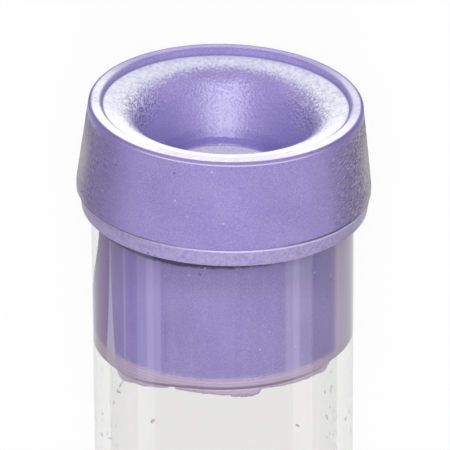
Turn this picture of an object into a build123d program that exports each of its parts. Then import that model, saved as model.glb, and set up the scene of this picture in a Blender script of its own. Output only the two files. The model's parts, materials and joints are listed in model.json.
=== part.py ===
from build123d import *
from math import asin, atan2, cos, hypot, radians, sin, tan
import os

# Evacuated blood collection tube, 13 x 75 mm, closed by its moulded rubber stopper.
# All lengths are in millimetres and all angles in degrees.

# ---- tube: one clear moulding with a round bottom ----
tube_diameter = 13.0
tube_wall = 0.8
tube_length = 75.0
mouth_edge = 0.15

# ---- stopper head: a tapered cap with a raised rim round a dished top ----
head_base_radius = 7.35
head_top_radius = 6.82
head_height = 4.93
head_base_land = 0.25
head_base_edge = 0.15
rim_width = 0.55
rim_edge = 0.3
rim_step = 0.47
rim_step_draft = 0.12

# ---- dish: a gently sloping shoulder that rolls over into a funnel ----
shoulder_slope = 13.0
shoulder_width = 1.34
shoulder_roll = 1.9
funnel_foot_radius = 3.08
target_radius = 2.97
target_depth = 3.98
target_wall = 0.4

# ---- ring: the trimmed parting-line band below the head, with a crease between them ----
ring_height = 0.95
ring_top_radius = 7.21
ring_base_radius = 7.14
ring_top_bevel = 0.06

# ---- plug: the part of the stopper that seals in the tube's mouth ----
plug_length = 7.3
plug_clearance = 0.03
plug_taper = 0.05
plug_chamfer_height = 0.55
plug_chamfer_depth = 0.35

# ---- hollow underside of the plug, below the part that the needle pierces ----
recess_radius = 3.0
recess_depth = 4.3
recess_bevel = 1.2

# ---- moulding flash left along the plug's lower edge ----
flash_thickness = 0.16
# start angle round the axis, sweep, and drop at the deep end of each curl
flash_curls = [(-58, 30, 0.38), (-14, 32, 0.5), (22, 40, 0.3), (96, 60, 0.35), (206, 70, 0.45)]

# ---- sizes that follow from those above ----
round_end_radius = tube_diameter / 2
bore_radius = round_end_radius - tube_wall
straight_length = tube_length - round_end_radius
rim_top = ring_height + head_height
rim_inner_radius = head_top_radius - rim_width
groove_radius = rim_inner_radius - rim_step_draft
groove_height = rim_top - rim_step
funnel_mouth_radius = groove_radius - shoulder_width
shoulder_drop = shoulder_width * tan(radians(shoulder_slope))
target_height = rim_top - target_depth
crease_radius = ring_top_radius - ring_top_bevel
plug_radius = bore_radius - plug_clearance
plug_tip_radius = plug_radius - plug_taper
plug_foot_radius = plug_tip_radius - plug_chamfer_depth
recess_height = -plug_length + recess_depth

# ---- lying rest: the head's widest edge and the round bottom touch the surface ----
edge_radius = head_base_radius - head_base_edge
edge_span = straight_length + ring_height + head_base_edge
edge_bearing = atan2(edge_radius, edge_span)
lean = edge_bearing - asin((round_end_radius - head_base_edge) / hypot(edge_span, edge_radius))
head_reach = rim_top * cos(lean) + (head_top_radius - rim_edge) * sin(lean)
round_end_reach = straight_length * cos(lean) + round_end_radius
mouth_centre = Vector(0, (head_reach - round_end_reach) / 2, round_end_radius + straight_length * sin(lean))
along = Vector(0, -cos(lean), sin(lean))
tube_axis = Axis(mouth_centre, along)
top_line = Vector(0, sin(lean), cos(lean))


def axial_plane(angle):
    """Plane through the tube's axis: local X is the radius at this angle, local Y runs out of the mouth."""
    radius = top_line.rotate(Axis((0, 0, 0), along), angle)
    return Plane(origin=mouth_centre, x_dir=radius, z_dir=radius.cross(along))


def flash_curl(start, sweep, drop):
    """A thin curl of flash that hangs from the plug's lower edge and deepens from its start to its end."""
    start_plane = axial_plane(start)
    foot_centre = start_plane.from_local_coords((0, -plug_length))
    deep_end = axial_plane(start + sweep).from_local_coords((plug_foot_radius, -plug_length - drop))
    cut_normal = start_plane.x_dir.cross(deep_end - foot_centre)
    with BuildPart() as curl:
        with BuildSketch(start_plane):
            with Locations((plug_foot_radius - flash_thickness / 2, -plug_length)):
                Rectangle(flash_thickness, 2 * drop)
        revolve(axis=tube_axis, revolution_arc=sweep)
        split(bisect_by=Plane(origin=foot_centre, x_dir=start_plane.x_dir, z_dir=cut_normal), keep=Keep.TOP)
    return curl.part


# ---- tube ----
with BuildPart() as tube:
    with BuildSketch(axial_plane(0)):
        with BuildLine():
            Line((0, -tube_length + tube_wall), (0, -tube_length))
            CenterArc((0, -straight_length), round_end_radius, -90, 90)
            Polyline(
                (round_end_radius, -straight_length),
                (round_end_radius, 0),
                (bore_radius, 0),
                (bore_radius, -straight_length),
            )
            CenterArc((0, -straight_length), bore_radius, -90, 90)
        make_face()
    revolve(axis=tube_axis)
    mouth_rims = edges().filter_by(GeomType.CIRCLE).sort_by(tube_axis)[-2:]
    chamfer(mouth_rims, mouth_edge)
tube.part.label = "tube"

# ---- stopper ----
curls = [flash_curl(*curl) for curl in flash_curls]

with BuildPart() as stopper:
    with BuildSketch(axial_plane(0)):
        with BuildLine():
            # dish, rim and tapered side of the head
            FilletPolyline(
                (0, target_height),
                (target_radius, target_height),
                (funnel_foot_radius, target_height + target_wall),
                (funnel_mouth_radius, groove_height - shoulder_drop),
                (groove_radius, groove_height),
                (rim_inner_radius, rim_top),
                (head_top_radius, rim_top),
                (head_base_radius, ring_height + head_base_edge + head_base_land),
                (head_base_radius, ring_height),
                (crease_radius, ring_height),
                radius=[0, 0, shoulder_roll, 0, 0, rim_edge, 0, head_base_edge],
            )
            # the head's rounded lower edge meets the upper bevel of the parting-line ring in a crease
            Polyline(
                (crease_radius, ring_height),
                (ring_top_radius, ring_height - ring_top_bevel),
                (ring_base_radius, 0),
            )
            # plug, its chamfer and its hollow underside
            Polyline(
                (ring_base_radius, 0),
                (plug_radius, 0),
                (plug_tip_radius, -plug_length + plug_chamfer_height),
                (plug_foot_radius, -plug_length),
                (recess_radius, -plug_length),
                (recess_radius, recess_height - recess_bevel),
                (recess_radius - recess_bevel, recess_height),
                (0, recess_height),
            )
            Line((0, recess_height), (0, target_height))
        make_face()
    revolve(axis=tube_axis)
    add(curls)
stopper.part.label = "stopper"

os.makedirs("parts", exist_ok=True)
export_step(tube.part, "parts/tube.step")
export_step(stopper.part, "parts/stopper.step")
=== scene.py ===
"""Looks of the blood collection tube: clear tube, lavender rubber stopper, dried additive on the wall."""

import json
import math
import random

import bmesh
import bpy
import numpy as np
from mathutils import Matrix, Vector


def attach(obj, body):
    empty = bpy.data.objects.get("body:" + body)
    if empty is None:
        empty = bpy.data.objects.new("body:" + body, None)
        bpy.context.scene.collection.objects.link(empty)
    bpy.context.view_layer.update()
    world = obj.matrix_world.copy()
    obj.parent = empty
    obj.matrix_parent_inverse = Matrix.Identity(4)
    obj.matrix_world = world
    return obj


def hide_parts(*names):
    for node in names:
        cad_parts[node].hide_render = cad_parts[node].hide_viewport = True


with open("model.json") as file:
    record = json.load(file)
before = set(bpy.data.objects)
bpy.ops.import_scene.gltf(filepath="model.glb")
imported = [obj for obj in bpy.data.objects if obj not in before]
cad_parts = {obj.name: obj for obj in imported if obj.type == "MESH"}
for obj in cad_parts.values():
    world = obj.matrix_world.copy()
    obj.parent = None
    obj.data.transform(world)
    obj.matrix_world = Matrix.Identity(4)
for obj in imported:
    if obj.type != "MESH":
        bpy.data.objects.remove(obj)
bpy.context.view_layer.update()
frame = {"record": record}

# ---------------------------------------------------------------- sizes in millimetres, angles in degrees
MM = 0.001

# tube
TUBE_RADIUS = 6.5
BORE_RADIUS = 5.7
TUBE_LENGTH = 75.0
MOUTH_ROUNDING = 0.15

# stopper's head, measured out of the mouth
RING_HEIGHT = 0.95
RING_TOP_RADIUS = 7.21
RING_TOP_DROP = 0.01
RING_TOP_ROUNDING = 0.07
RING_BASE_RADIUS = 7.14
RING_BASE_ROUNDING = 0.08
RING_OFFSET = 0.12
RING_OFFSET_BEARING = 50.0
RING_LIP = 0.1
HEAD_HEIGHT = 4.93
HEAD_BASE_RADIUS = 7.35
HEAD_TOP_RADIUS = 6.82
HEAD_BASE_LAND = 0.25
HEAD_BASE_EDGE = 0.15
HEAD_BASE_ROUNDING = 0.13
HEAD_SIDE_ROUNDING = 0.5
RIM_WIDTH = 0.55
RIM_EDGE = 0.13
RIM_INNER_EDGE = 0.07
RIM_STEP = 0.47
RIM_STEP_DRAFT = 0.12

# how this stopper differs from a true one: the rim lies lower, most of all at the top line, and the head
# leans and lies to one side, drawn in a little so that it stays within the CAD model's box
RIM_SETTLE = 0.13
RIM_DROP = 0.32
STOPPER_LEAN = 1.7
STOPPER_SHIFT = 0.033
LEAN_ROOM = 0.989

# stopper's dish
GROOVE_ROUNDING = 0.06
SHOULDER_SLOPE = 13.0
SHOULDER_WIDTH = 1.34
SHOULDER_ROLL = 1.9
FUNNEL_FOOT_RADIUS = 3.08
FUNNEL_FOOT_ROUNDING = 0.25
TARGET_RADIUS = 2.97
TARGET_ROUNDING = 0.12
TARGET_DEPTH = 3.98
TARGET_WALL = 0.4

# plug: it presses on the bore, apart from a slim wedge that opens on the left, where its foot slants too
PLUG_LENGTH = 7.3
PLUG_STEPS = 28
CHAMFER_HEIGHT = 0.28
CHAMFER_DEPTH = 0.17
SQUEEZE = 0.01
FOOT_SLANT = 0.4
FOOT_SLANT_REACH = (1.2, 5.2)
FOOT_SLANT_TOP = 5.0
FOOT_ROUNDING = 0.1
WEDGE_GAP = 0.1
WEDGE_EDGE = -74.0
WEDGE_SLOPE = 1.5
WEDGE_CURVE = 0.55
WEDGE_SOFTNESS = 1.5
WEDGE_END = (-128.0, -120.0)
RECESS_RADIUS = 3.0
RECESS_DEPTH = 4.3
RECESS_CROWN = 1.2

# torn flash on the plug's lower edge: each curl's start, how far round it runs and its drop at the deep end
FLASH_CURLS = [(-28, -35, 0.38), (-24, 43, 0.5), (17, 45, 0.32), (96, 60, 0.35), (206, 70, 0.45)]
FLASH_THICKNESS = 0.12
FLASH_TIP_SHARE = 0.4
FLASH_ROOT = 0.12
FLASH_BULGE = 0.02
FLASH_TUCK = 0.1
FLASH_TUCK_RAGGED = 0.05
FLASH_STEP = 0.8
FLASH_RAGGED = 0.55
FLASH_CHANGE = 0.3
FLASH_SHALLOWEST = 0.2
FLASH_END = (-0.02, 0.06)
FLASH_SEED = 11

# dried additive: droplets on this stretch of the bore, mostly where the wall turns away from the top line
DROPLET_SIZE = 0.11
DROPLET_STRETCH = (-66.0, -8.0)
DROPLET_FLANKS = (0.89, 0.97)
DROPLET_LEAST = 0.03
DROPLETS_PER_SQUARE_METRE = 7.0e5
DROPLET_SEED = 4
DROPLET_THINNEST = (0.2, 0.3, 0.2)
DROPLET_FATTEST = (1.0, 1.7, 0.5)

# points round the axis in each turned form
TUBE_TURNS = 288
TUBE_END_STEPS = 28
STOPPER_TURNS = 320
PATCH_TURNS = 96

RIM_TOP = RING_HEIGHT + HEAD_HEIGHT
RIM_INNER_RADIUS = HEAD_TOP_RADIUS - RIM_WIDTH
GROOVE_RADIUS = RIM_INNER_RADIUS - RIM_STEP_DRAFT
GROOVE_HEIGHT = RIM_TOP - RIM_STEP
FUNNEL_MOUTH_RADIUS = GROOVE_RADIUS - SHOULDER_WIDTH
FUNNEL_MOUTH_HEIGHT = GROOVE_HEIGHT - SHOULDER_WIDTH * math.tan(math.radians(SHOULDER_SLOPE))
TARGET_HEIGHT = RIM_TOP - TARGET_DEPTH
SIDE_FOOT = RING_HEIGHT + HEAD_BASE_EDGE + HEAD_BASE_LAND
CREASE_RADIUS = HEAD_BASE_RADIUS - 1.5 * HEAD_BASE_EDGE
PLUG_RADIUS = BORE_RADIUS + SQUEEZE
PLUG_CHAMFER_TOP = -PLUG_LENGTH + CHAMFER_HEIGHT
PLUG_FOOT_RADIUS = PLUG_RADIUS - CHAMFER_DEPTH

# the profile of a turned form: the turn between an arc's points, and how near its ends a straight run is held
ARC_STEP = 7.0
SUPPORT = 0.03

# ---------------------------------------------------------------- places and directions, from the frame
mounts = {mount["name"]: mount for mount in frame["record"]["mounts"]}
OUT = Vector(mounts["needle_target"]["axis"]).normalized()
SIDE = Vector((-1.0, 0.0, 0.0))
TOP = SIDE.cross(OUT)
MOUTH = Vector(mounts["needle_target"]["pos_m"]) - TARGET_HEIGHT * MM * OUT


def at(side, top, height):
    """The point this far along the side, along the top line and out of the mouth."""
    return MOUTH + MM * (side * SIDE + top * TOP + height * OUT)


def place(angle, radius, height):
    """The point this far round the axis from the top line, this far from the axis and out of the mouth."""
    turn = math.radians(angle)
    return at(radius * math.sin(turn), radius * math.cos(turn), height)


def toward(azimuth, rise):
    """The direction at this azimuth round the axis, raised from square to it out of the mouth."""
    turn, lift = math.radians(azimuth), math.radians(rise)
    return math.cos(lift) * (math.cos(turn) * TOP + math.sin(turn) * SIDE) + math.sin(lift) * OUT


# ---------------------------------------------------------------- shader sums written as Python
class Number:
    """A number that varies over a surface: a node's socket, with a node added for each sum done on it."""

    def __init__(self, finish, socket):
        self.finish, self.socket = finish, socket

    def math(self, operation, *others):
        return self.finish.node("ShaderNodeMath", {"operation": operation}, dict(enumerate((self, *others))))

    def __add__(self, other):
        return self.math("ADD", other)

    def __sub__(self, other):
        return self.math("SUBTRACT", other)

    def __rsub__(self, other):
        return self.finish.node("ShaderNodeMath", {"operation": "SUBTRACT"}, {0: other, 1: self})

    def __mul__(self, other):
        return self.math("MULTIPLY", other)

    def __truediv__(self, other):
        return self.math("DIVIDE", other)

    def __neg__(self):
        return self.math("MULTIPLY", -1.0)

    def __pow__(self, other):
        return self.math("POWER", other)

    def ramp(self, low, high, start=0.0, end=1.0):
        """Goes smoothly from start at low to end at high."""
        settings = {"interpolation_type": "SMOOTHSTEP"}
        values = {"Value": self, "From Min": low, "From Max": high, "To Min": start, "To Max": end}
        return self.finish.node("ShaderNodeMapRange", settings, values)

    def between(self, low, high, soft):
        """1 where the number lies from low to high, and 0 outside, with soft ends."""
        return self.ramp(low - soft, low + soft) * self.ramp(high - soft, high + soft, 1.0, 0.0)


class Finish:
    """A material, the Principled shader that shows it and the nodes that feed the shader."""

    def __init__(self, name):
        self.material = bpy.data.materials.new(name)
        self.material.use_nodes = True
        self.tree = self.material.node_tree
        self.tree.nodes.clear()
        self.output = self.tree.nodes.new("ShaderNodeOutputMaterial")
        self.shader = self.tree.nodes.new("ShaderNodeBsdfPrincipled")
        self.tree.links.new(self.shader.outputs[0], self.output.inputs["Surface"])

    def fill(self, node, values):
        for key, value in values.items():
            if isinstance(value, Number):
                self.tree.links.new(value.socket, node.inputs[key])
            else:
                node.inputs[key].default_value = value

    def node(self, kind, settings, values, output=0):
        """Adds a node of this type: its settings first, then the values or links of its sockets."""
        made = self.tree.nodes.new(kind)
        for key, value in settings.items():
            setattr(made, key, value)
        self.fill(made, values)
        return Number(self, made.outputs[output])

    def set(self, **values):
        """Sets the Principled shader's sockets, named with _ for a space."""
        self.fill(self.shader, {key.replace("_", " "): value for key, value in values.items()})

    def dot(self, vector, direction):
        values = {0: vector, 1: tuple(direction)}
        return self.node("ShaderNodeVectorMath", {"operation": "DOT_PRODUCT"}, values, "Value")

    def tube_coordinates(self):
        """Millimetres along the side, along the top line and out of the mouth."""
        here = self.node("ShaderNodeTexCoord", {}, {}, "Object")
        from_mouth = self.node("ShaderNodeVectorMath", {"operation": "SUBTRACT"}, {0: here, 1: tuple(MOUTH)})
        return [self.dot(from_mouth, axis / MM) for axis in (SIDE, TOP, OUT)]

    def vector(self, x, y, z):
        return self.node("ShaderNodeCombineXYZ", {}, {"X": x, "Y": y, "Z": z})

    def noise(self, where, size, detail, roughness=0.5):
        """Cloudy noise from 0 to 1 whose lumps are about this size in the units of where."""
        values = {"Vector": where, "Scale": 1.0 / size, "Detail": detail, "Roughness": roughness}
        return self.node("ShaderNodeTexNoise", {}, values)

    def cells(self, where, size):
        """The distance to the nearest of many scattered points, 0 at the point itself."""
        return self.node("ShaderNodeTexVoronoi", {}, {"Vector": where, "Scale": 1.0 / size}, "Distance")

    def facing(self):
        """0 where the surface faces the viewer and 1 where it turns away."""
        return self.node("ShaderNodeLayerWeight", {}, {"Blend": 0.5}, "Facing")

    def mix(self, factor, first, second):
        """One colour where factor is 0 and the other where it is 1."""
        values = {0: factor, 6: first, 7: second}
        return self.node("ShaderNodeMix", {"data_type": "RGBA"}, values, 2)

    def bump(self, height):
        """The normal of a surface with this relief in metres."""
        return self.node("ShaderNodeBump", {}, {"Height": height, "Distance": 1.0, "Strength": 1.0})


def colour(red, green, blue):
    return (red, green, blue, 1.0)


class Coats:
    """A colour made of coats, each laid over those before it as thickly as its mask says."""

    def __init__(self, finish, first):
        self.finish, self.colour = finish, first

    def lay(self, mask, tone):
        self.colour = self.finish.mix(mask, self.colour, tone)


# ---------------------------------------------------------------- finishes
# tones of the rubber, and painted light and shade laid over them
RUBBER_DARKER = colour(0.288, 0.241, 0.545)
RUBBER_PALER = colour(0.328, 0.276, 0.595)
GRAIN_PIT = colour(0.15, 0.115, 0.38)
GRAIN_TIP = colour(0.52, 0.48, 0.76)
SPECK = colour(0.7, 0.66, 0.84)
PIT = colour(0.08, 0.05, 0.2)

DISH_PAINTED_SHADE = colour(0.14, 0.1, 0.44)
PAINTED_SHEEN = colour(0.82, 0.82, 0.92)
GROOVE_PAINTED_SHADE = colour(0.12, 0.09, 0.32)
RIM_EDGE_PAINTED_SHADE = colour(0.13, 0.1, 0.3)
UNDER_RIM_PAINTED_HIGHLIGHT = colour(0.75, 0.7, 0.9)
TARGET_BLOOM = colour(0.86, 0.83, 0.95)

SCUFF_PAINTED_HIGHLIGHT = colour(0.95, 0.85, 0.97)
STROKE_PAINTED_SHADE = colour(0.08, 0.05, 0.25)
FLANK_PAINTED_SHADE = colour(0.17, 0.13, 0.42)
FLANK_SHADE = colour(0.12, 0.08, 0.38)
PAINTED_SHEEN_OUTLINE = colour(0.97, 0.92, 1.0)
CREASE_PAINTED_SHADE = colour(0.05, 0.035, 0.17)
RING_BLOOM = colour(0.5, 0.44, 0.66)
RING_EDGE_PAINTED_HIGHLIGHT = colour(0.68, 0.64, 0.88)

PLUG_STREAK = colour(0.2, 0.16, 0.42)
PLUG_LEFT = colour(0.24, 0.15, 0.66)
PLUG_RIGHT_PAINTED_SHADE = colour(0.14, 0.1, 0.4)
PLUG_SHADE = colour(0.12, 0.08, 0.34)
PAINTED_SOFTBOX_REFLECTION = colour(0.6, 0.55, 0.84)
WEDGE_PAINTED_SHADE = colour(0.21, 0.07, 0.45)
SLIT_PAINTED_REFLECTION = colour(0.68, 0.6, 0.88)
PLUG_EDGE_PAINTED_REFLECTION = colour(0.76, 0.6, 0.86)
RING_PAINTED_SHADOW = colour(0.022, 0.012, 0.1)
DARK_LINE_PAINTED_SHADE = colour(0.1, 0.07, 0.22)
SEAL_BAND = colour(0.62, 0.48, 0.62)
FOOT_EDGE_PAINTED_SHADOW = colour(0.16, 0.08, 0.2)

# radii between which a mask leaves out the plug and takes in all that is wider than the tube
WIDER_THAN_TUBE = (6.6, 6.7)


class Spot:
    """Where a point of the rubber lies in the stopper's own shape, before the head's lean, with the noises
    that several coats share. Bearings are degrees round the axis from the top line, below 0 on the left."""

    def __init__(self, finish):
        side, top, height = finish.tube_coordinates()
        lean = math.tan(math.radians(STOPPER_LEAN))
        outside = height.ramp(-0.01, 0.3)
        side = (side - outside * (height * lean + STOPPER_SHIFT)) * (outside * (1.0 / LEAN_ROOM - 1.0) + 1.0)
        height = height + outside * side * lean
        self.side, self.top, self.height, self.depth = side, top, height, -height
        self.here = finish.vector(side, top, height)
        self.radius = (side * side + top * top) ** 0.5
        self.below_rim = RIM_TOP - RIM_SETTLE - height - (top / self.radius + 1.0) * (RIM_DROP / 2.0)
        self.bearing = side.math("ARCTAN2", top) * math.degrees(1.0)
        self.off_top = self.bearing.math("ABSOLUTE")
        self.grain = finish.noise(self.here, 0.075, 2.0, 0.7)
        self.mottle = finish.noise(self.here, 0.22, 3.0, 0.65)


def coat_dish_and_rim(finish, spot, coats):
    """Painted shade in the funnel and at its foot, painted sheen on the shoulder and the rim land, painted
    shade in the groove, a painted shade line and a painted highlight line along the rim's outer edge, and
    bloom on the target.
    Returns the dish's mask and how much duller than the rest the rim is."""
    height, radius, bearing, off_top = spot.height, spot.radius, spot.bearing, spot.off_top
    dish = height.ramp(1.7, 1.9) * radius.ramp(6.0, 6.2, 1.0, 0.0)
    # painted shade: the funnel is darker toward its front and sides, and in a band at its foot
    shade = dish * off_top.ramp(115.0, 155.0, 1.0, 0.0) * height.ramp(4.0, 4.9, 1.0, 0.0)
    coats.lay(shade * 0.4, DISH_PAINTED_SHADE)
    funnel_foot = height.between(TARGET_HEIGHT + 0.05, TARGET_HEIGHT + 0.75, 0.15) * radius.ramp(3.6, 3.4)
    coats.lay(funnel_foot * 0.4, DISH_PAINTED_SHADE)

    # painted sheen: patchy pale colour on the shoulder and the rim land stands in for the reflection of the
    # strips
    sideways = spot.side * spot.side / (radius * radius)
    speckle = finish.noise(spot.here, 0.13, 1.0)
    ridge = (radius + speckle + sideways * 0.4).ramp(5.4, 6.0) * radius.ramp(6.0, 6.3, 1.0, 0.0) * dish
    land = radius.between(RIM_INNER_RADIUS - 0.02, 6.72, 0.03) * spot.below_rim.ramp(0.08, 0.14, 1.0, 0.0)
    away = off_top.ramp(100.0, 140.0)
    land_sheen = land * (1.0 - away) * bearing.ramp(40.0, 75.0, 1.0, 0.45)
    land_sheen = land_sheen * off_top.ramp(20.0, 50.0, 0.3, 1.0)
    sheen_patches = finish.noise(spot.here, 0.25, 3.0, 0.7).ramp(0.3, 0.6, 0.3, 0.65)
    sheen_patches = sheen_patches * (sideways * 0.4 + 1.0) * off_top.ramp(20.0, 60.0, 1.4, 1.0)
    coats.lay((ridge + land_sheen).math("MINIMUM", 1.0) * sheen_patches, PAINTED_SHEEN)

    # painted shade in the groove along the rim's step wall
    step_wall = radius.between(GROOVE_RADIUS - 0.05, RIM_INNER_RADIUS + 0.05, 0.02) * height.ramp(4.9, 5.0)
    step_wall = step_wall * off_top.ramp(40.0, 80.0)
    coats.lay(step_wall * height.ramp(GROOVE_HEIGHT - 0.05, GROOVE_HEIGHT + 0.12, 0.7, 0.0), GROOVE_PAINTED_SHADE)
    # painted shade: a dark line along the rim's outer edge
    outer_edge = (radius + off_top.ramp(30.0, 90.0) * 0.05).ramp(6.73, 6.76)
    outer_edge = outer_edge * spot.below_rim.ramp(0.06, 0.11, 1.0, 0.0)
    coats.lay(outer_edge * off_top.ramp(25.0, 60.0, 0.2, 0.6), RIM_EDGE_PAINTED_SHADE)
    # painted highlight: a pale line just below the rim's outer edge
    under_rim = radius.ramp(6.66, 6.72) * spot.below_rim.between(0.13, 0.19, 0.02)
    coats.lay(under_rim * off_top.ramp(25.0, 55.0, 1.0, 0.0) * 0.8, UNDER_RIM_PAINTED_HIGHLIGHT)

    target = radius.ramp(TARGET_RADIUS - 0.15, TARGET_RADIUS, 1.0, 0.0) * height.between(1.5, 2.1, 0.05)
    coats.lay(target * spot.grain.ramp(0.3, 0.6, 0.6, 1.0), TARGET_BLOOM)
    return dish, (step_wall + outer_edge + land * away * 0.6) * 0.5


def coat_ring(spot, coats):
    """Bloom on the trimmed ring and a painted highlight line along its upper edge."""
    ring = spot.radius.ramp(*WIDER_THAN_TUBE) * spot.height.between(0.0, RING_HEIGHT + 0.03, 0.03)
    coats.lay(ring * spot.mottle.ramp(0.35, 0.62, 0.08, 0.58), RING_BLOOM)
    # painted highlight along the ring's upper edge
    ring_edge_highlight = spot.radius.ramp(7.05, 7.12) * spot.height.between(0.86, 0.97, 0.02)
    coats.lay(ring_edge_highlight * 0.7, RING_EDGE_PAINTED_HIGHLIGHT)


def coat_plug(finish, spot, coats):
    """The plug, seen through the wall: streaks, painted reflections of the side softboxes, painted shade on
    the wedge where it stands off the wall and a painted reflection in the slit beside it, painted shade on
    its right and a painted reflection at its right edge, painted shade and a painted shadow line below the
    ring, a painted shade line down its left, the seal band at its foot and a painted shadow line along the
    foot's edge, where the flash hangs."""
    height, depth, bearing, off_top = spot.height, spot.depth, spot.bearing, spot.off_top
    plug = height.ramp(-0.04, 0.0, 1.0, 0.0)
    streaks = finish.noise(finish.vector(bearing * 0.1, height * 0.04, 0.0), 0.35, 3.0, 0.6)
    coats.lay(plug * streaks.ramp(0.3, 0.7, 0.2, 0.0), PLUG_STREAK)
    coats.lay(plug * bearing.between(-61.0, -30.0, 4.0) * 0.35, PLUG_LEFT)
    # painted reflections of the side softboxes: pale bands on the plug
    coats.lay(plug * off_top.between(30.5, 38.2, 0.9) * 0.3, PAINTED_SOFTBOX_REFLECTION)
    coats.lay(plug * bearing.between(-53.0, -51.6, 0.5) * 0.3, PAINTED_SOFTBOX_REFLECTION)
    # painted shade on the wedge where the plug stands off the wall
    coats.lay(plug * bearing.between(-110.0, -63.4, 0.4) * 0.85, WEDGE_PAINTED_SHADE)
    # painted reflection in the slit beside the wedge
    slit = (bearing + 63.3 + depth * 0.1).math("ABSOLUTE") / (depth * depth * 0.085 + 0.25)
    coats.lay(plug * slit.ramp(0.8, 1.15, 0.85, 0.0), SLIT_PAINTED_REFLECTION)
    # painted shade: a darker band on the plug's right
    coats.lay(plug * bearing.between(46.0, 60.0, 3.0) * 0.25, PLUG_RIGHT_PAINTED_SHADE)
    # painted reflection: the plug's right edge paler
    coats.lay(plug * bearing.ramp(61.0, 66.0) * 0.7, PLUG_EDGE_PAINTED_REFLECTION)

    # painted shade below the ring, and a dark painted shadow line close under it
    coats.lay(plug * depth.ramp(0.4, 1.2, 0.2, 0.0), PLUG_SHADE)
    ring_shadow_edge = finish.noise(spot.here, 0.4, 4.0, 0.7) * 0.3 + spot.top / spot.radius * 0.25 + 0.22
    ring_shadow = (depth - ring_shadow_edge).ramp(-0.08, 0.08, 1.0, 0.0) * bearing.ramp(5.0, 55.0, 1.0, 0.35)
    coats.lay(plug * ring_shadow, RING_PAINTED_SHADOW)

    # painted shade: a thin dark line down the plug's left
    fold = (bearing + 28.1).math("ABSOLUTE").ramp(0.15, 0.4, 0.35, 0.0) * depth.between(3.6, 5.9, 0.6)
    coats.lay(plug * fold, DARK_LINE_PAINTED_SHADE)
    foot = (depth + spot.mottle * 0.3).ramp(6.6, 6.95) * spot.radius.ramp(3.1, 3.3)
    rills = (height * 38.0 + spot.mottle * 6.0).math("SINE") * 0.2 + 0.72
    coats.lay(foot * rills, SEAL_BAND)
    # painted shadow: a dark line along the foot's edge, where the flash hangs
    slant = (-spot.side).ramp(*FOOT_SLANT_REACH, 0.0, FOOT_SLANT)
    foot_edge_shadow = (depth - slant + spot.mottle * 0.1).between(PLUG_LENGTH - 0.16, PLUG_LENGTH + 0.03, 0.05)
    coats.lay(foot_edge_shadow * spot.radius.ramp(5.4, 5.5) * 0.75, FOOT_EDGE_PAINTED_SHADOW)


def coat_flanks(finish, spot, coats):
    """Drag marks on the head's flanks, with painted highlights on their ridges and painted shade in their
    furrows, painted shade on the flanks and below the rim, a painted sheen along the outline and painted
    shade in the crease above the ring. Returns where the flanks are roughened and the marks' relief."""
    height, bearing, off_top = spot.height, spot.bearing, spot.off_top
    head_side = spot.radius.ramp(*WIDER_THAN_TUBE) * height.ramp(1.0, 1.1)
    climb = height - off_top * bearing.ramp(-60.0, 60.0, 0.05, 0.028)
    along = off_top * 0.02 + height * 0.1
    drag = finish.noise(finish.vector(along, climb, bearing.ramp(-1.0, 1.0)), 0.055, 1.0, 0.5)
    roughened = head_side * off_top.ramp(38.0, 76.0) * off_top.ramp(92.0, 115.0, 1.0, 0.0)
    roughened = roughened * height.ramp(5.35, 4.9)
    # drag marks, with painted highlights on their ridges and painted shade in their furrows
    coats.lay(roughened * drag.ramp(0.52, 0.6) * bearing.ramp(-60.0, 60.0, 0.25, 0.95), SCUFF_PAINTED_HIGHLIGHT)
    coats.lay(roughened * drag.ramp(0.38, 0.5, 0.8, 0.0), STROKE_PAINTED_SHADE)
    # painted shade on the flanks, and below the rim
    coats.lay(head_side * off_top.between(44.0, 70.0, 12.0) * 0.4, FLANK_PAINTED_SHADE)
    coats.lay(head_side * off_top.ramp(44.0, 74.0) * spot.below_rim.ramp(0.6, 0.2) * 0.45, FLANK_SHADE)
    # painted sheen: paler where the head's side turns away
    outline = head_side * finish.facing().ramp(0.6, 0.88) * spot.below_rim.ramp(0.2, 2.2)
    coats.lay(outline * bearing.ramp(-60.0, 60.0, 0.85, 1.0), PAINTED_SHEEN_OUTLINE)
    # painted shade in the crease above the ring
    crease_shade = height.between(RING_HEIGHT - 0.01, RING_HEIGHT + 0.12, 0.02) * spot.radius.ramp(7.0, 7.1)
    coats.lay(crease_shade * off_top.ramp(10.0, 50.0), CREASE_PAINTED_SHADE)
    return roughened, drag


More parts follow.
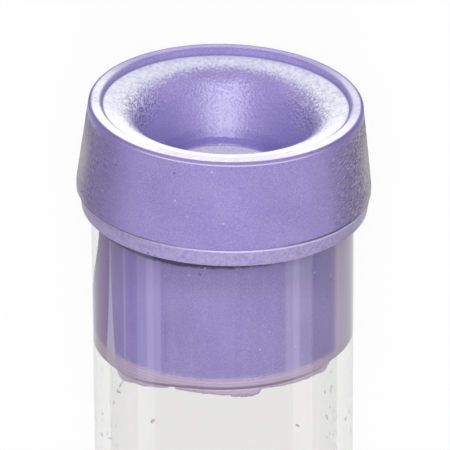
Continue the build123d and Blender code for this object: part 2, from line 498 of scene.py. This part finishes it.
def lavender_rubber():
    """Moulded rubber: satin, with orange peel in the dish, drag marks on the flanks, bloom on the target and
    the trimmed ring, painted sheen on the shoulder and rim, painted highlights and shade along its edges,
    creases and flanks, and a plug with a painted shadow below the ring and painted reflections and shade as
    paler and darker bands."""
    finish = Finish("lavender_rubber")
    spot = Spot(finish)
    cloud = finish.noise(spot.here, 2.2, 3.0)
    coats = Coats(finish, finish.mix(cloud.ramp(0.3, 0.7), RUBBER_DARKER, RUBBER_PALER))
    coats.lay(spot.grain.ramp(0.34, 0.5, 0.34, 0.0), GRAIN_PIT)
    coats.lay(spot.grain.ramp(0.52, 0.66, 0.0, 0.26), GRAIN_TIP)
    dish, duller = coat_dish_and_rim(finish, spot, coats)
    coat_ring(spot, coats)
    coat_plug(finish, spot, coats)
    roughened, drag = coat_flanks(finish, spot, coats)
    specks = finish.cells(spot.here, 1.1)
    coats.lay(specks.ramp(0.03, 0.06, 0.55, 0.0), SPECK)
    pits = finish.cells(finish.vector(spot.top, spot.height, spot.side), 1.7)
    coats.lay(pits.ramp(0.025, 0.05, 0.6, 0.0), PIT)

    peel = finish.cells(spot.here, 0.16).ramp(0.1, 0.65, 1.0, 0.0)
    roll = spot.radius.between(4.1, 5.3, 0.3) * dish * spot.off_top.ramp(110.0, 150.0, 1.0, 0.1)
    marks = drag * (roughened * spot.bearing.ramp(-60.0, 60.0, 0.3, 0.5))
    finish.set(
        Base_Color=coats.colour,
        Roughness=dish.ramp(0.0, 1.0, 0.34, 0.4) - roll * 0.14 + roughened * 0.12 + duller,
        IOR=1.5,
        Normal=finish.bump((peel * (dish * 0.008 + roll * 0.05) + spot.grain * 0.006 + marks) * MM),
    )
    return finish.material


def dried_additive():
    """Droplets of additive that dried on the wall: glossy, nearly clear, a little grey."""
    finish = Finish("dried_additive")
    haze = finish.noise(finish.vector(*finish.tube_coordinates()), 0.3, 2.0)
    finish.set(
        Base_Color=finish.mix(haze.ramp(0.3, 0.7), colour(0.75, 0.74, 0.78), colour(0.9, 0.9, 0.92)),
        Roughness=0.25,
        IOR=1.35,
        Transmission_Weight=0.85,
    )
    return finish.material


def clear_plastic():
    """Clear moulded plastic that lets the lamps reach the plug behind it."""
    finish = Finish("clear_plastic")
    # painted shade: the plastic is greyer where it turns away, for the darker edges of the tube
    edge = finish.facing().ramp(0.25, 0.95)
    finish.set(
        Base_Color=finish.mix(edge, colour(0.91, 0.907, 0.9), colour(0.7, 0.7, 0.7)),
        Roughness=0.0,
        IOR=1.5,
        Transmission_Weight=1.0,
    )
    path = finish.tree.nodes.new("ShaderNodeLightPath")
    shadow = Number(finish, path.outputs["Is Shadow Ray"])
    diffuse = Number(finish, path.outputs["Is Diffuse Ray"])
    clear = finish.node("ShaderNodeBsdfTransparent", {}, {"Color": colour(0.97, 0.97, 0.97)})
    shown = finish.node(
        "ShaderNodeMixShader",
        {},
        {0: shadow.math("MAXIMUM", diffuse), 1: Number(finish, finish.shader.outputs[0]), 2: clear},
    )
    finish.tree.links.new(shown.socket, finish.output.inputs["Surface"])
    return finish.material


# ---------------------------------------------------------------- turned forms
def rounded(corners):
    """Profile points from corners of (radius, height, rounding): a rounded corner becomes an arc, and each
    straight run gets a point near either end, which keeps its shading flat."""
    runs = []
    for i, (radius, height, rounding) in enumerate(corners):
        here = np.array((radius, height))
        if rounding == 0:
            runs.append([here])
            continue
        back = np.array(corners[i - 1][:2]) - here
        ahead = np.array(corners[i + 1][:2]) - here
        back, ahead = back / np.linalg.norm(back), ahead / np.linalg.norm(ahead)
        half = math.acos(np.clip(back @ ahead, -1, 1)) / 2
        middle = (back + ahead) / np.linalg.norm(back + ahead)
        centre = here + middle * rounding / math.sin(half)
        start = here + back * rounding / math.tan(half) - centre
        end = here + ahead * rounding / math.tan(half) - centre
        turn = math.atan2(start[0] * end[1] - start[1] * end[0], start @ end)
        steps = max(3, round(abs(math.degrees(turn)) / ARC_STEP))
        arc = []
        for step in range(steps + 1):
            a = turn * step / steps
            arc.append(centre + np.array((
                start[0] * math.cos(a) - start[1] * math.sin(a),
                start[0] * math.sin(a) + start[1] * math.cos(a),
            )))
        runs.append(arc)
    points = list(runs[0])
    for run in runs[1:]:
        span = run[0] - points[-1]
        length = np.linalg.norm(span)
        if length > 4 * SUPPORT:
            points += [points[-1] + span * SUPPORT / length, run[0] - span * SUPPORT / length]
        points += run
    return [(float(radius), float(height)) for radius, height in points]


def turned(name, profile, turns, lie=place):
    """A closed form turned round the tube's axis from profile points that start and end on it. lie gives the
    place of each of its points."""
    shape = bmesh.new()
    rings = []
    for radius, height in profile:
        if radius < 1e-6:
            rings.append([shape.verts.new(lie(0.0, 0.0, height))])
            continue
        ring = []
        for step in range(turns):
            angle = 360.0 * step / turns
            ring.append(shape.verts.new(lie(angle, radius, height)))
        rings.append(ring)
    for lower, upper in zip(rings, rings[1:]):
        for step in range(turns):
            after = (step + 1) % turns
            if len(lower) == 1:
                shape.faces.new((lower[0], upper[step], upper[after]))
            elif len(upper) == 1:
                shape.faces.new((lower[step], upper[0], lower[after]))
            else:
                shape.faces.new((lower[step], upper[step], upper[after], lower[after]))
    return finished(name, shape)


def linked(name, data):
    """A new object in the scene that holds this data."""
    made = bpy.data.objects.new(name, data)
    bpy.context.scene.collection.objects.link(made)
    return made


def meshed(name, shape):
    """A mesh made from this form."""
    mesh = bpy.data.meshes.new(name)
    shape.to_mesh(mesh)
    shape.free()
    return mesh


def finished(name, shape):
    """An object made from this closed form, with its faces outward and its shading smooth."""
    bmesh.ops.recalc_face_normals(shape, faces=shape.faces)
    mesh = meshed(name, shape)
    mesh.shade_smooth()
    return linked(name, mesh)


def make_tube():
    """The tube: round bottom, straight wall, rounded mouth, and the bore inside it."""
    end = -(TUBE_LENGTH - TUBE_RADIUS)
    quarter = [math.radians(90.0 * step / TUBE_END_STEPS) for step in range(TUBE_END_STEPS + 1)]
    outside = [(TUBE_RADIUS * math.sin(a), end - TUBE_RADIUS * math.cos(a)) for a in quarter]
    inside = [(BORE_RADIUS * math.sin(a), end - BORE_RADIUS * math.cos(a)) for a in reversed(quarter)]
    mouth = rounded([
        (TUBE_RADIUS, end + SUPPORT, 0),
        (TUBE_RADIUS, 0.0, MOUTH_ROUNDING),
        (BORE_RADIUS, 0.0, MOUTH_ROUNDING),
        (BORE_RADIUS, end + SUPPORT, 0),
    ])
    profile = outside + mouth + inside
    profile[0] = (0.0, profile[0][1])
    profile[-1] = (0.0, profile[-1][1])
    return turned("clear_tube", profile, TUBE_TURNS)


def blend(value, low, high):
    """Goes smoothly from 0 at low to 1 at high."""
    share = min(1.0, max(0.0, (value - low) / (high - low)))
    return share * share * (3.0 - 2.0 * share)


def foot_slant(side, height):
    """How much lower than square the plug's foot lies on its left."""
    return FOOT_SLANT * blend(-side, *FOOT_SLANT_REACH) * blend(-height, FOOT_SLANT_TOP, PLUG_LENGTH)


def uneven(angle, radius, height):
    """Where a point of the stopper's turned form really lies: the rim slants, the ring was trimmed off
    centre, the plug stands off the wall in a slim wedge, its foot slants, and the head leans to one side."""
    turn = math.radians(angle)
    drop = RIM_SETTLE + RIM_DROP * (1 + math.cos(turn)) / 2
    if height > GROOVE_HEIGHT and radius < RIM_INNER_RADIUS + 0.01:
        height -= drop * (height - GROOVE_HEIGHT) / RIM_STEP
    elif height > SIDE_FOOT and radius > RIM_INNER_RADIUS:
        height -= drop * blend(height, SIDE_FOOT, RIM_TOP)
    elif 0.0 < height < RING_HEIGHT and radius > TUBE_RADIUS:
        radius += RING_OFFSET * math.cos(turn - math.radians(RING_OFFSET_BEARING))
    elif PLUG_CHAMFER_TOP <= height < 0.0:
        radius -= plug_gap((angle + 180.0) % 360.0 - 180.0, -height)
    side, top = radius * math.sin(turn), radius * math.cos(turn)
    if radius > RECESS_RADIUS:
        height -= foot_slant(side, height)
    if height <= 0.0:
        return at(side, top, height)
    lean = math.tan(math.radians(STOPPER_LEAN))
    leant = side * LEAN_ROOM + height * lean + STOPPER_SHIFT * blend(height, 0.0, RING_HEIGHT)
    return at(leant, top, max(height - side * lean, SUPPORT))


def plug_gap(bearing, depth):
    """How far the plug stands off the bore at this bearing and this depth below the mouth."""
    edge = WEDGE_EDGE - WEDGE_SLOPE * depth - WEDGE_CURVE * depth * depth
    return WEDGE_GAP * blend(edge - bearing, 0.0, WEDGE_SOFTNESS) * blend(bearing, *WEDGE_END)


def make_stopper():
    """The stopper in one piece: dish, groove, rim, tapered head, crease, ring, plug and hollow underside."""
    head = rounded([
        (0.0, TARGET_HEIGHT, 0),
        (TARGET_RADIUS, TARGET_HEIGHT, TARGET_ROUNDING),
        (FUNNEL_FOOT_RADIUS, TARGET_HEIGHT + TARGET_WALL, FUNNEL_FOOT_ROUNDING),
        (FUNNEL_MOUTH_RADIUS, FUNNEL_MOUTH_HEIGHT, SHOULDER_ROLL),
        (GROOVE_RADIUS, GROOVE_HEIGHT, GROOVE_ROUNDING),
        (RIM_INNER_RADIUS, RIM_TOP, RIM_INNER_EDGE),
        (HEAD_TOP_RADIUS, RIM_TOP, RIM_EDGE),
        (HEAD_BASE_RADIUS, SIDE_FOOT, HEAD_SIDE_ROUNDING),
        (HEAD_BASE_RADIUS, RING_HEIGHT, HEAD_BASE_ROUNDING),
        (CREASE_RADIUS, RING_HEIGHT, 0),
        (RING_TOP_RADIUS, RING_HEIGHT - RING_TOP_DROP, RING_TOP_ROUNDING),
        (RING_BASE_RADIUS, RING_LIP, RING_BASE_ROUNDING),
        (PLUG_RADIUS, RING_LIP, 0),
    ])
    side = [(PLUG_RADIUS, float(height)) for height in np.linspace(-0.05, PLUG_CHAMFER_TOP, PLUG_STEPS)]
    foot = rounded([
        (PLUG_RADIUS, PLUG_CHAMFER_TOP, 0),
        (PLUG_FOOT_RADIUS, -PLUG_LENGTH, FOOT_ROUNDING),
        (RECESS_RADIUS, -PLUG_LENGTH, FOOT_ROUNDING),
        (RECESS_RADIUS, -PLUG_LENGTH + RECESS_DEPTH, RECESS_CROWN),
        (0.0, -PLUG_LENGTH + RECESS_DEPTH, 0),
    ])
    return turned("rubber_stopper", head + side + foot[1:], STOPPER_TURNS, uneven)


def flash_outline(reach, tuck):
    """The section of a curl of flash that hangs this far below the plug's foot and tucks its tip this far
    inward: (radius, height) points."""
    inner = PLUG_FOOT_RADIUS - FLASH_THICKNESS
    root, middle, tip = -PLUG_LENGTH + FLASH_ROOT, -PLUG_LENGTH - 0.5 * reach, -PLUG_LENGTH - reach
    return [
        (PLUG_FOOT_RADIUS, root),
        (PLUG_FOOT_RADIUS + FLASH_BULGE, middle),
        (PLUG_FOOT_RADIUS - tuck, tip),
        (PLUG_FOOT_RADIUS - tuck - FLASH_TIP_SHARE * FLASH_THICKNESS, tip),
        (inner, middle),
        (inner, root),
    ]


def make_flash():
    """Torn flash: thin curls of rubber on the plug's lower edge, ragged below and deeper toward one end."""
    dice = random.Random(FLASH_SEED)
    shape = bmesh.new()
    for start, sweep, drop in FLASH_CURLS:
        steps = round(abs(sweep) / FLASH_STEP)
        ribs = []
        ragged = 0.0
        for step in range(steps + 1):
            share = step / steps
            ragged = (1.0 - FLASH_CHANGE) * ragged + FLASH_CHANGE * dice.uniform(-1.0, 1.0)
            reach = drop * (FLASH_SHALLOWEST + (1.0 - FLASH_SHALLOWEST) * share)
            reach *= (1.0 + FLASH_RAGGED * ragged) * blend(1.0 - share, *FLASH_END)
            outline = flash_outline(reach, FLASH_TUCK * reach + FLASH_TUCK_RAGGED * ragged)
            angle = start + sweep * share
            lower = foot_slant(PLUG_FOOT_RADIUS * math.sin(math.radians(angle)), -PLUG_LENGTH)
            ribs.append([shape.verts.new(place(angle, radius, height - lower)) for radius, height in outline])
        for before, after in zip(ribs, ribs[1:]):
            for i in range(len(before)):
                j = (i + 1) % len(before)
                shape.faces.new((before[i], before[j], after[j], after[i]))
        shape.faces.new(ribs[0])
        shape.faces.new(ribs[-1])
    return finished("torn_flash", shape)


class Growth:
    """A Geometry Nodes tree on an object, with named inputs, that ends in a plain mesh."""

    def __init__(self, name):
        self.tree = bpy.data.node_groups.new(name, "GeometryNodeTree")
        self.tree.interface.new_socket("Geometry", in_out="INPUT", socket_type="NodeSocketGeometry")
        self.tree.interface.new_socket("Geometry", in_out="OUTPUT", socket_type="NodeSocketGeometry")
        self.values = {}

    def ask(self, name, kind, value):
        """Adds a named input and the value that it takes."""
        socket = self.tree.interface.new_socket(name, in_out="INPUT", socket_type=kind)
        self.values[socket.identifier] = value

    def start(self):
        """The sockets that give the tree its geometry and its inputs."""
        return self.tree.nodes.new("NodeGroupInput").outputs

    def node(self, kind, settings, values):
        """Adds a node of this type: its settings first, then the values or links of its sockets."""
        made = self.tree.nodes.new(kind)
        for key, value in settings.items():
            setattr(made, key, value)
        for key, value in values.items():
            if isinstance(value, bpy.types.NodeSocket):
                self.tree.links.new(value, made.inputs[key])
            else:
                made.inputs[key].default_value = value
        return made.outputs

    def grow(self, host, result, name):
        """Runs the tree on the host and returns what it makes as a plain object."""
        self.node("NodeGroupOutput", {}, {0: result})
        modifier = host.modifiers.new(self.tree.name, "NODES")
        modifier.node_group = self.tree
        for identifier, value in self.values.items():
            modifier[identifier] = value
        settled = host.evaluated_get(bpy.context.evaluated_depsgraph_get())
        mesh = bpy.data.meshes.new_from_object(settled)
        host.modifiers.remove(modifier)
        bpy.data.objects.remove(host)
        mesh.name = name
        return linked(name, mesh)


def make_droplets(material):
    """Small flat droplets that dried on the bore, scattered over it by Geometry Nodes."""
    host = turned_patch("bore_patch", BORE_RADIUS, *DROPLET_STRETCH)
    growth = Growth("droplets")
    growth.ask("Droplets per Square Metre", "NodeSocketFloat", DROPLETS_PER_SQUARE_METRE)
    growth.ask("Seed", "NodeSocketInt", DROPLET_SEED)
    growth.ask("Droplet Size", "NodeSocketFloat", DROPLET_SIZE * MM)
    sleeve, density, seed, size = list(growth.start())[:4]

    here = growth.node("GeometryNodeInputPosition", {}, {})
    apart = growth.node("ShaderNodeSeparateXYZ", {}, {0: here[0]})
    off_centre = growth.node("ShaderNodeMath", {"operation": "ABSOLUTE"}, {0: apart[0]})
    flanks = growth.node("ShaderNodeMapRange", {}, {
        "Value": off_centre[0],
        "From Min": DROPLET_FLANKS[0] * BORE_RADIUS * MM,
        "From Max": DROPLET_FLANKS[1] * BORE_RADIUS * MM,
        "To Min": DROPLET_LEAST,
    })
    thick = growth.node("ShaderNodeMath", {"operation": "MULTIPLY"}, {0: flanks[0], 1: density})
    spread = growth.node("GeometryNodeDistributePointsOnFaces", {"distribute_method": "RANDOM"},
                         {"Mesh": sleeve, "Density": thick[0], "Seed": seed})

    drop = growth.node("GeometryNodeMeshIcoSphere", {}, {"Radius": 1.0, "Subdivisions": 2})
    plump = growth.node("FunctionNodeRandomValue", {"data_type": "FLOAT_VECTOR"},
                        {0: DROPLET_THINNEST, 1: DROPLET_FATTEST, "Seed": seed})
    scale = growth.node("ShaderNodeVectorMath", {"operation": "SCALE"}, {0: plump[0], "Scale": size})
    dots = growth.node("GeometryNodeInstanceOnPoints", {}, {
        "Points": spread["Points"], "Instance": drop[0], "Rotation": spread["Rotation"], "Scale": scale[0]})
    real = growth.node("GeometryNodeRealizeInstances", {}, {0: dots[0]})

    wobble = growth.node("ShaderNodeTexNoise", {}, {"Scale": 1.0 / (DROPLET_SIZE * MM), "Detail": 1.0})
    centred = growth.node("ShaderNodeVectorMath", {"operation": "SUBTRACT"},
                          {0: wobble["Color"], 1: (0.5, 0.5, 0.5)})
    push = growth.node("ShaderNodeVectorMath", {"operation": "SCALE"}, {0: centred[0], "Scale": size})
    bent = growth.node("GeometryNodeSetPosition", {}, {"Geometry": real[0], "Offset": push[0]})
    smooth = growth.node("GeometryNodeSetShadeSmooth", {}, {0: bent[0]})
    done = growth.node("GeometryNodeSetMaterial", {}, {"Geometry": smooth[0], "Material": material})
    return growth.grow(host, done[0], "additive_droplets")


def turned_patch(name, radius, low, high):
    """An open sleeve that faces the axis, for things to be scattered on."""
    shape = bmesh.new()
    angles = [360.0 * step / PATCH_TURNS for step in range(PATCH_TURNS)]
    rings = [[shape.verts.new(place(angle, radius, height)) for angle in angles] for height in (low, high)]
    for step in range(PATCH_TURNS):
        after = (step + 1) % PATCH_TURNS
        shape.faces.new((rings[0][step], rings[0][after], rings[1][after], rings[1][step]))
    return linked(name, meshed(name, shape))


# ---------------------------------------------------------------- pieces on their bodies
tube = make_tube()
tube.data.materials.append(clear_plastic())
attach(tube, "tube")
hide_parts("tube")

droplets = make_droplets(dried_additive())
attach(droplets, "tube")

rubber = lavender_rubber()
stopper = make_stopper()
stopper.data.materials.append(rubber)
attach(stopper, "stopper")
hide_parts("stopper")

flash = make_flash()
flash.data.materials.append(rubber)
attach(flash, "stopper")

# ---------------------------------------------------------------- floor, light and camera
FLOOR_HALF = 1.5
PAPER_GREY = 0.45
PAPER_GLOW = 1.08
PAPER_GLOW_SHARE = 0.86
PLAIN_LIGHT = 0.12
LAMP_DISTANCE = 0.3
VIEW_RISE = 25.3
VIEW_DISTANCE = 297.0
VIEW_HEIGHT = -1.09
VIEW_ROLL = -0.3
SENSOR_WIDTH = 36.0
FOCAL_LENGTH = 480.0
LENS_SHIFT = 0.0053
NEAREST, FARTHEST = 0.01, 10.0

UP = Vector((0.0, 0.0, 1.0))
AIM = MOUTH + VIEW_HEIGHT * MM * OUT
HEAD_END = MOUTH + RIM_TOP * MM * OUT


def seen_rays(tree):
    """A socket that is 1 for rays from the camera, also by way of a reflection or of the clear tube."""
    path = tree.nodes.new("ShaderNodeLightPath")
    seen = path.outputs["Is Camera Ray"]
    for other in ("Is Glossy Ray", "Is Transmission Ray"):
        most = tree.nodes.new("ShaderNodeMath")
        most.operation = "MAXIMUM"
        tree.links.new(seen, most.inputs[0])
        tree.links.new(path.outputs[other], most.inputs[1])
        seen = most.outputs[0]
    return seen


def make_floor():
    """White paper: it glows where it is seen, so that it stays white, but lights the tube only as paper."""
    mesh = bpy.data.meshes.new("floor")
    corners = [(-FLOOR_HALF, -FLOOR_HALF, 0), (FLOOR_HALF, -FLOOR_HALF, 0),
               (FLOOR_HALF, FLOOR_HALF, 0), (-FLOOR_HALF, FLOOR_HALF, 0)]
    mesh.from_pydata(corners, [], [(0, 1, 2, 3)])
    floor = linked("floor", mesh)
    material = bpy.data.materials.new("floor_white")
    material.use_nodes = True
    tree = material.node_tree
    tree.nodes.clear()
    output = tree.nodes.new("ShaderNodeOutputMaterial")
    paper = tree.nodes.new("ShaderNodeBsdfDiffuse")
    paper.inputs["Color"].default_value = colour(PAPER_GREY, PAPER_GREY, PAPER_GREY)
    glow = tree.nodes.new("ShaderNodeEmission")
    glow.inputs["Strength"].default_value = PAPER_GLOW
    share = tree.nodes.new("ShaderNodeMath")
    share.operation = "MULTIPLY"
    share.inputs[1].default_value = PAPER_GLOW_SHARE
    tree.links.new(seen_rays(tree), share.inputs[0])
    mix = tree.nodes.new("ShaderNodeMixShader")
    tree.links.new(share.outputs[0], mix.inputs[0])
    tree.links.new(paper.outputs[0], mix.inputs[1])
    tree.links.new(glow.outputs[0], mix.inputs[2])
    tree.links.new(mix.outputs[0], output.inputs["Surface"])
    mesh.materials.append(material)


def make_world():
    """A surround that is white where it is seen and dim as a light."""
    world = bpy.data.worlds.new("studio")
    bpy.context.scene.world = world
    world.use_nodes = True
    tree = world.node_tree
    tree.nodes.clear()
    output = tree.nodes.new("ShaderNodeOutputWorld")
    sky = tree.nodes.new("ShaderNodeBackground")
    level = tree.nodes.new("ShaderNodeMapRange")
    level.inputs["To Min"].default_value = PLAIN_LIGHT
    level.inputs["To Max"].default_value = 1.0
    tree.links.new(seen_rays(tree), level.inputs["Value"])
    tree.links.new(level.outputs[0], sky.inputs["Strength"])
    tree.links.new(sky.outputs[0], output.inputs["Surface"])


def lamp(name, centre, facing, width, height, radiance, diffuse=True, glossy=True):
    """A rectangular lamp, width across the tube and height along it, that lights, is reflected or both."""
    data = bpy.data.lights.new(name, "AREA")
    data.shape = "RECTANGLE"
    data.size, data.size_y = width, height
    data.energy = 4 * width * height * radiance
    made = linked(name, data)
    back = -facing.normalized()
    across = OUT.cross(back) if abs(OUT.dot(back)) < 0.99 else SIDE.copy()
    across.normalize()
    turned_to = Matrix((across, back.cross(across), back)).transposed().to_4x4()
    made.matrix_world = Matrix.Translation(centre) @ turned_to
    made.visible_camera = False
    made.visible_diffuse = diffuse
    made.visible_glossy = glossy
    made.visible_transmission = False


def softbox(name, azimuth, rise, width, height, radiance, **seen):
    """A lamp that faces the stopper from this direction."""
    direction = toward(azimuth, rise)
    lamp(name, AIM + LAMP_DISTANCE * direction, -direction, width, height, radiance, **seen)


def make_camera():
    """A long lens that looks down on the stopper's dish, with the way out of the mouth as up."""
    data = bpy.data.cameras.new("camera")
    data.sensor_width = SENSOR_WIDTH
    data.lens = FOCAL_LENGTH
    data.shift_x = LENS_SHIFT
    data.clip_start, data.clip_end = NEAREST, FARTHEST
    camera = linked("camera", data)
    back = toward(0.0, VIEW_RISE)
    upright = (OUT - OUT.dot(back) * back).normalized()
    roll = math.radians(VIEW_ROLL)
    upward = math.cos(roll) * upright - math.sin(roll) * upright.cross(back)
    turned_to = Matrix((upward.cross(back), upward, back)).transposed().to_4x4()
    camera.matrix_world = Matrix.Translation(AIM + VIEW_DISTANCE * MM * back) @ turned_to
    bpy.context.scene.camera = camera


make_floor()
make_world()
softbox("left_softbox", azimuth=-72.0, rise=-20.0, width=0.085, height=0.1, radiance=0.75)
softbox("right_softbox", azimuth=74.0, rise=-20.0, width=0.1, height=0.1, radiance=0.75)
softbox("key_softbox", azimuth=4.0, rise=43.0, width=0.24, height=0.12, radiance=12.0, diffuse=False)
softbox("top_softbox", azimuth=0.0, rise=51.3, width=0.08, height=0.07, radiance=15.0, glossy=False)
softbox("fill_softbox", azimuth=0.0, rise=22.0, width=0.15, height=0.15, radiance=5.2, glossy=False)
softbox("foot_softbox", azimuth=0.0, rise=-50.0, width=0.2, height=0.2, radiance=2.2, glossy=False)
# two strips past the head's end, on the floor and at the axis, which the rim and the head's side reflect
lamp("end_strip", Vector((0.0, HEAD_END.y - 0.002, 0.0002)), UP,
     width=0.03, height=0.0044, radiance=3.0, diffuse=False)
lamp("rim_strip", Vector((0.0, HEAD_END.y - 0.0027, 0.0076)), UP,
     width=0.02, height=0.005, radiance=3.0, diffuse=False)
make_camera()
bpy.context.scene.view_settings.view_transform = "Standard"
